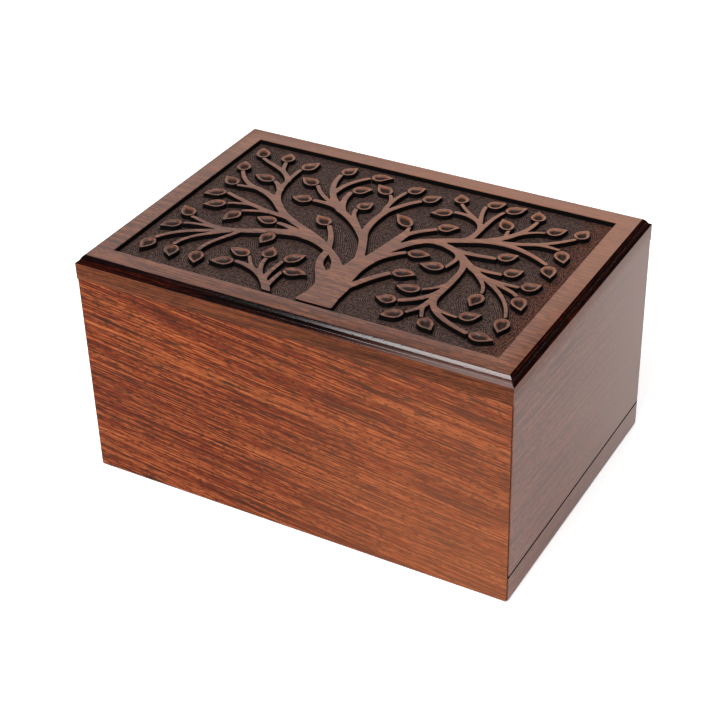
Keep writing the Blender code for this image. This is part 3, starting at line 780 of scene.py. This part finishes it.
mouldings = []
for side, turn, sheen_share, refraction in (("long", 0.0, 1.0, 1.5), ("end", -QUARTER_TURN, 0.0, 1.3)):
    finish, tree, shader = new_finish(side + "_moulding_rosewood")
    colour, relief = rosewood(tree, along_grain(tree, (0.0, 0.0, turn)), MOULDING_SHADES, 0.8)
    # Along the front, paler towards the right: painted reflected light in the cove and a painted sheen on
    # the lip.
    to_right = measured(tree, ALONG).between(20.0, 105.0) * sheen_share
    on_lip = (TOP - measured(tree, UP)).between(1.7, 2.4)
    colour = (to_right * 0.9).blend(colour, on_lip.blend(COVE_PAINTED_LIGHT, LIP_PAINTED_SHEEN))
    lacquer(shader, tree, colour, relief, POLISH, refraction)
    (to_right * on_lip * 0.3 + POLISH).joins(shader.inputs["Roughness"])
    mouldings.append(finish)

end_finish, tree, shader = new_finish("end_rosewood")
end_wood(tree, shader, 0.0)
edge_finish, tree, shader = new_finish("edge_rosewood")
colour, relief = rosewood(tree, along_grain(tree, (0.0, 0.0, 0.0)), EDGE_SHADES, 0.6)
lacquer(shader, tree, colour, relief, 0.3, 1.16)

groups = [(group, 0) for group in carved_faces + [border_faces]]
groups += [(moulded[0::2], 1), (moulded[1::2], 2), (edge_band[0::2], 3), (edge_band[1::2], 4)]
groups.append((ring_numbers[-1][None, ::-1], 3))
board_finishes = [carved_finish, *mouldings, edge_finish, end_finish]
board = new_mesh("carved_board", points, groups, board_finishes, SMOOTH_BELOW, first_ring)
from_cut = np.zeros(len(points), np.float32)
from_cut[:field_count] = np.maximum(np.where(at_edge, 0.0, -inside), 0.0).ravel()
board.data.attributes.new("cut", "FLOAT", "POINT").data.foreach_set("value", from_cut)
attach(board, "box")
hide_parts("carved_top")


# Studio: a glowing white floor, a window of light high in front, a broad dim one behind on the left and a
# soft one overhead. The front window's left edge decides where the moulding's highlight begins.
FLOOR_REACH = 3.0
FLOOR_WHITE = (0.8, 0.8, 0.8)
FLOOR_GLOW = 0.52

floor_mesh = bpy.data.meshes.new("floor")
floor_corners = [(-FLOOR_REACH, -FLOOR_REACH, 0), (FLOOR_REACH, -FLOOR_REACH, 0)]
floor_corners += [(FLOOR_REACH, FLOOR_REACH, 0), (-FLOOR_REACH, FLOOR_REACH, 0)]
floor_mesh.from_pydata(floor_corners, [], [(0, 1, 2, 3)])
floor = bpy.data.objects.new("floor", floor_mesh)
bpy.context.scene.collection.objects.link(floor)
floor_paint, _, floor_shader = new_finish("floor_paint")
floor_shader.inputs["Base Color"].default_value = (*FLOOR_WHITE, 1.0)
floor_shader.inputs["Roughness"].default_value = 0.9
floor_shader.inputs["Specular IOR Level"].default_value = 0.0
floor_shader.inputs["Emission Color"].default_value = (1.0, 1.0, 1.0, 1.0)
floor_shader.inputs["Emission Strength"].default_value = FLOOR_GLOW
floor_mesh.materials.append(floor_paint)


def softbox(name, direction, distance, width, height, radiance):
    """A rectangular light that faces the box from a direction. Power is radiance times area times pi."""
    light = bpy.data.lights.new(name, "AREA")
    light.shape = "RECTANGLE"
    light.size = width
    light.size_y = height
    light.energy = radiance * width * height * math.pi
    obj = bpy.data.objects.new(name, light)
    bpy.context.scene.collection.objects.link(obj)
    toward = Vector(direction).normalized()
    obj.location = toward * distance
    obj.rotation_mode = "QUATERNION"
    obj.rotation_quaternion = toward.to_track_quat("Z", "Y")


softbox("front_window", (-0.09, -0.60, 0.79), 1.5, 0.92, 0.87, 9.6)
softbox("back_window", (-0.42, 0.74, 0.53), 1.6, 1.75, 0.75, 1.65)
softbox("overhead", (0.20, 0.05, 0.98), 1.5, 1.1, 0.95, 3.0)

world = bpy.data.worlds.new("studio")
bpy.context.scene.world = world
world.use_nodes = True
world.node_tree.nodes["Background"].inputs["Color"].default_value = (0.05, 0.05, 0.05, 1.0)
world.node_tree.nodes["Background"].inputs["Strength"].default_value = 1.0
bpy.context.scene.view_settings.view_transform = "Standard"

# Camera: the photograph's own place and lens, from a fit to the box's corners
CAMERA_AZIMUTH = math.radians(30.012)
CAMERA_ELEVATION = math.radians(33.814)
CAMERA_ROLL = math.radians(-1.538)
CAMERA_DISTANCE = 832.683 * MM
CAMERA_TARGET = Vector((5.494, -15.345, 60.0)) * MM
LENS_MM = 83.94
SENSOR_MM = 36.0

camera = bpy.data.cameras.new("camera")
camera.lens = LENS_MM
camera.sensor_width = SENSOR_MM
camera.clip_start = 0.05
viewer = bpy.data.objects.new("camera", camera)
bpy.context.scene.collection.objects.link(viewer)
level_right = Vector((math.cos(CAMERA_AZIMUTH), math.sin(CAMERA_AZIMUTH), 0.0))
level_back = Vector((math.sin(CAMERA_AZIMUTH), -math.cos(CAMERA_AZIMUTH), 0.0))
back = math.cos(CAMERA_ELEVATION) * level_back + Vector((0.0, 0.0, math.sin(CAMERA_ELEVATION)))
level_up = back.cross(level_right)
right = math.cos(CAMERA_ROLL) * level_right + math.sin(CAMERA_ROLL) * level_up
up = math.cos(CAMERA_ROLL) * level_up - math.sin(CAMERA_ROLL) * level_right
turned = Matrix((right, up, back)).transposed().to_4x4()
viewer.matrix_world = Matrix.Translation(CAMERA_TARGET + CAMERA_DISTANCE * back) @ turned
bpy.context.scene.camera = viewer
